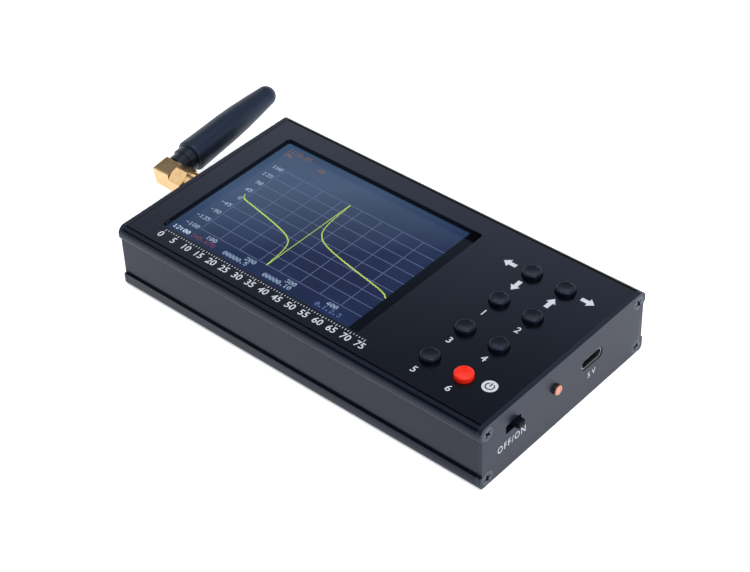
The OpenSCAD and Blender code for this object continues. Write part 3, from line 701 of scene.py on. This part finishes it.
# The body's sides behind the face take the painted shade in a second slot.
led.data.materials.append(led_side_painted_shade)
led_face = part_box("status_led")[1].x - 0.3 * mm
for polygon in led.data.polygons:
    if polygon.center.x < led_face:
        polygon.material_index = 1
tinned_wire = finished("tinned_wire", "#c4c6ca", "#aeb0b4", 1.0, 0.1, 0.003, (0.25, 0.4),
                       Metallic=1.0)
dress(tinned_wire, "led_legs")

# Drawn steel shell, nickel bright, round a black plastic tongue with gold
# flashed contacts on both faces.
socket_steel = finished("stamped_socket_steel", "#aeb1b6", "#94979c", 1.5, 0.15, 0.003,
                        (0.2, 0.35), Metallic=1.0)
rounded_copy("usb_shell", "housing", socket_steel, radius=0.06)
tongue_plastic = finished("moulded_black_lcp", "#1a1b1d", "#131415", 1.0, 0.1, 0.003,
                          (0.4, 0.5))
rounded_copy("usb_tongue", "housing", tongue_plastic, radius=0.05)
tongue_low, tongue_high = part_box("usb_tongue")
contact_gold = finished("gold_flashed_contact", "#f2cf8e", "#dfb872", 0.8, 0.1, 0.001, (0.2, 0.3),
                        Metallic=1.0)
tongue_y = (tongue_low.y + tongue_high.y) / 2
contact_pitch, contact_size = 0.5 * mm, (2.6 * mm, 0.25 * mm, 0.03 * mm)
for side, level in (("top", tongue_high.z), ("bottom", tongue_low.z)):
    contacts = [tile(contact_size, (tongue_high.x - 1.7 * mm,
                                    tongue_y + (column - 5.5) * contact_pitch, level))
                for column in range(12)]
    settle(join(contacts), "usb_contacts_" + side, contact_gold)


# ---- Antenna jack ----
# A gold-plated brass jack passes through the left plate. A washer and a nut
# clamp it, and its quarter-inch thread carries the coupling nut.
# Gold over turned brass, a little dulled by handling, and plain nickel plating.
gold = finished("gold_plated_brass", "#f0c896", "#e4ba80", 2.0, 0.3, 0.002, (0.16, 0.28),
                Metallic=1.0)
nickel = finished("nickel_plated_steel", "#b4b5b8", "#9b9c9f", 2.0, 0.3, 0.003, (0.2, 0.35),
                  Metallic=1.0)
# Skived white PTFE, faintly waxy.
ptfe = finished("white_ptfe", "#f0efe9", "#e4e3dc", 1.5, 0.2, 0.002, (0.3, 0.4))
rounded_copy("jack_nut", "housing", gold, radius=0.1)
rounded_copy("jack_washer", "housing", nickel, radius=0.06)
dress(gold, "jack_contact", "coax_jack")
dress(ptfe, "jack_insulator", "plug_insulator")

# Crests of the jack's thread show between the lock nut and the coupling nut.
plate_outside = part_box("antenna_end_plate")[0].x
jack_z = 11.44 * mm
crests = []
for turn in range(2):
    bpy.ops.object.select_all(action="DESELECT")
    bpy.ops.mesh.primitive_torus_add(major_segments=64, minor_segments=8, major_radius=3.1 * mm,
                                     minor_radius=0.2 * mm, rotation=(0, math.pi / 2, 0),
                                     location=(plate_outside - (2.96 + 0.52 * turn) * mm, 0,
                                               jack_z))
    crests.append(bpy.context.object)
settle(join(crests), "jack_thread", gold)
bpy.ops.object.shade_smooth()


# ---- Elbow plug and whip ----
# The plug's square elbow and its coupling nut are turned and milled brass,
# gold plated. The whip's stepped collar is black nylon, and its sleeve is
# moulded rubber over a coiled radiator.
rounded_copy("coupling_nut", "coupling", gold, radius=0.12)
rounded_copy("antenna_elbow", "antenna", gold, radius=0.25)
dress(gold, "elbow_cap", "plug_pin")
dress(nickel, "retaining_ring")

# Turned nylon with fine tool marks.
collar_nylon = finished("turned_black_nylon", "#0e1116", "#0a0c10", 3.0, 0.2, 0.004,
                        (0.32, 0.45), IOR=1.5, Specular_Tint=(0.66, 0.78, 1.0, 1))
rounded_copy("antenna_collar", "antenna", collar_nylon, radius=0.15)

# Bare copper wire, wound into a coil.
copper = finished("drawn_copper_wire", "#c98a4b", "#b4753a", 1.0, 0.1, 0.002, (0.25, 0.4),
                  Metallic=1.0)
dress(copper, "antenna_radiator")

# Rubber from a polished mould: a soft bluish sheen on near black.
sleeve_rubber = finished("moulded_satin_rubber", "#121a28", "#0e1420", 6.0, 0.18, 0.005,
                         (0.36, 0.48), IOR=1.5, Specular_Tint=(0.52, 0.68, 1.0, 1))
rounded_copy("antenna_sleeve", "antenna", sleeve_rubber, radius=0.15,
             smooth=40)


# ---- Boards, battery and the rest inside ----
# Two glass-epoxy boards, their parts, a foil battery pouch on foam tape and its
# leads are closed in by the case.
# Each material below is smooth and even, but for the pouch's embossed foil.
solder_mask = finished("green_solder_mask", "#1f6a3c", "#1a5a32", 5, 0.4, 0.004, (0.25, 0.35))
dress(solder_mask, "front_board", "main_board")
dress(nickel, "panel_standoffs", "front_board_screws")
dress(switch_nylon, "board_header")
chip_epoxy = finished("moulded_chip_epoxy", "#222326", "#191a1c", 1.5, 0.1, 0.003, (0.5, 0.6))
dress(chip_epoxy, "board_chips")
dress(switch_can, "rf_shield")
pouch_foil = finished("embossed_pouch_foil", "#c2c4c8", "#a9abb0", 8, 0.8, 0.03, (0.3, 0.45),
                      Metallic=1.0)
dress(pouch_foil, "battery")
foam_tape = finished("white_foam_tape", "#e2dfd8", "#d0cdc6", 2, 0.3, 0.02, (0.8, 0.9))
dress(foam_tape, "battery_pad")
lead_pvc = finished("red_pvc_insulation", "#b02a24", "#96201b", 2, 0.2, 0.002, (0.35, 0.45))
dress(lead_pvc, "battery_leads")
nylon_white = finished("natural_nylon", "#e9e4d6", "#dad5c6", 2, 0.15, 0.003, (0.4, 0.5))
dress(nylon_white, "battery_plug", "battery_socket")
